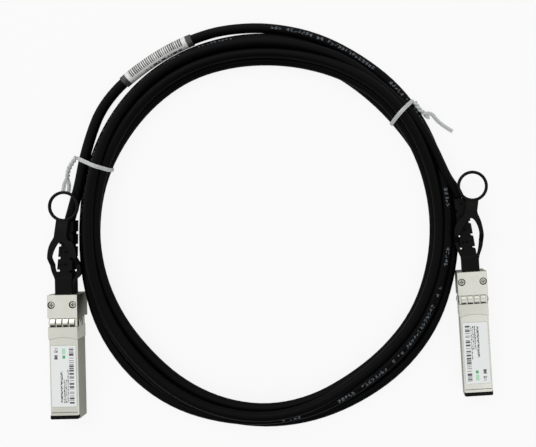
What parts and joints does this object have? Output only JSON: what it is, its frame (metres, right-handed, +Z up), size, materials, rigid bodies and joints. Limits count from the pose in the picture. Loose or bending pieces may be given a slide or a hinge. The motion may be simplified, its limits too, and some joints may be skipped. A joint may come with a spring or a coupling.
{
  "type": "direct attach copper cable",
  "caption": "Direct attach copper cable: small metal pluggable plugs with ribbed boots and ring pull tabs at both ends of a black twinax cable coiled under white ties.",
  "frame": {"origin": "middle of the box round both plugs, on the surface that the cable lies on", "axes": "+X from the left plug to the right plug, +Y from the plugs' noses towards their pull tabs, +Z up from the table"},
  "size_m": [0.2128, 0.1969, 0.0135],
  "materials": {
    "shell_metal": "satin nickel plate on die-cast zinc",
    "spring_steel": "bright stamped sheet",
    "black_plastic": "fine moulded grain",
    "board_green": "solder mask over laminate",
    "contact_gold": "gold plate",
    "pair_film": "foil and film round two cores",
    "label_white": "printed film label, bare",
    "boot_rubber": "soft moulded thermoplastic",
    "ferrule_metal": "crimped sleeve",
    "cable_jacket": "matt PVC jacket with fine pale print",
    "screw_steel": "small cross-recess screws",
    "film_white": "wrap-round film label with clear tails",
    "tie_white": "plastic-coated twist tie"
  },
  "bodies": {
    "cable": {"lower_shell_a": "shell_metal", "upper_shell_a": "shell_metal", "nose_insert_a": "black_plastic", "emi_collar_a": "spring_steel", "circuit_board_a": "board_green", "edge_contacts_a": "contact_gold", "memory_chip_a": "black_plastic", "twinax_pairs_a": "pair_film", "shell_label_a": "label_white", "strain_boot_a": "boot_rubber", "cable_ferrule_a": "ferrule_metal", "cable_tail_a": "cable_jacket", "cover_screws_a": "screw_steel", "lower_shell_b": "shell_metal", "upper_shell_b": "shell_metal", "nose_insert_b": "black_plastic", "emi_collar_b": "spring_steel", "circuit_board_b": "board_green", "edge_contacts_b": "contact_gold", "memory_chip_b": "black_plastic", "twinax_pairs_b": "pair_film", "shell_label_b": "label_white", "strain_boot_b": "boot_rubber", "cable_ferrule_b": "ferrule_metal", "cable_tail_b": "cable_jacket", "cover_screws_b": "screw_steel", "cable_coil": "cable_jacket", "lead_a": "cable_jacket", "lead_b": "cable_jacket", "cable_label": "film_white", "tie_left": "tie_white", "tie_right": "tie_white"},
    "slider_a": {"pull_tab_a": "black_plastic", "release_slide_a": "spring_steel", "return_springs_a": "spring_steel"},
    "slider_b": {"pull_tab_b": "black_plastic", "release_slide_b": "spring_steel", "return_springs_b": "spring_steel"}
  },
  "joints": [
    {"name": "release_a", "type": "slide", "parent": "cable", "child": "slider_a", "axis": [-0.0227, 0.9997, 0], "range_m": [0, 0.0025], "stiffness_N_per_m": 1200, "springref_m": -0.0015, "deforming": ["return_springs_a"]},
    {"name": "release_b", "type": "slide", "parent": "cable", "child": "slider_b", "axis": [-0.0602, 0.9982, 0], "range_m": [0, 0.0025], "stiffness_N_per_m": 1200, "springref_m": -0.0015, "deforming": ["return_springs_b"]}
  ]
}
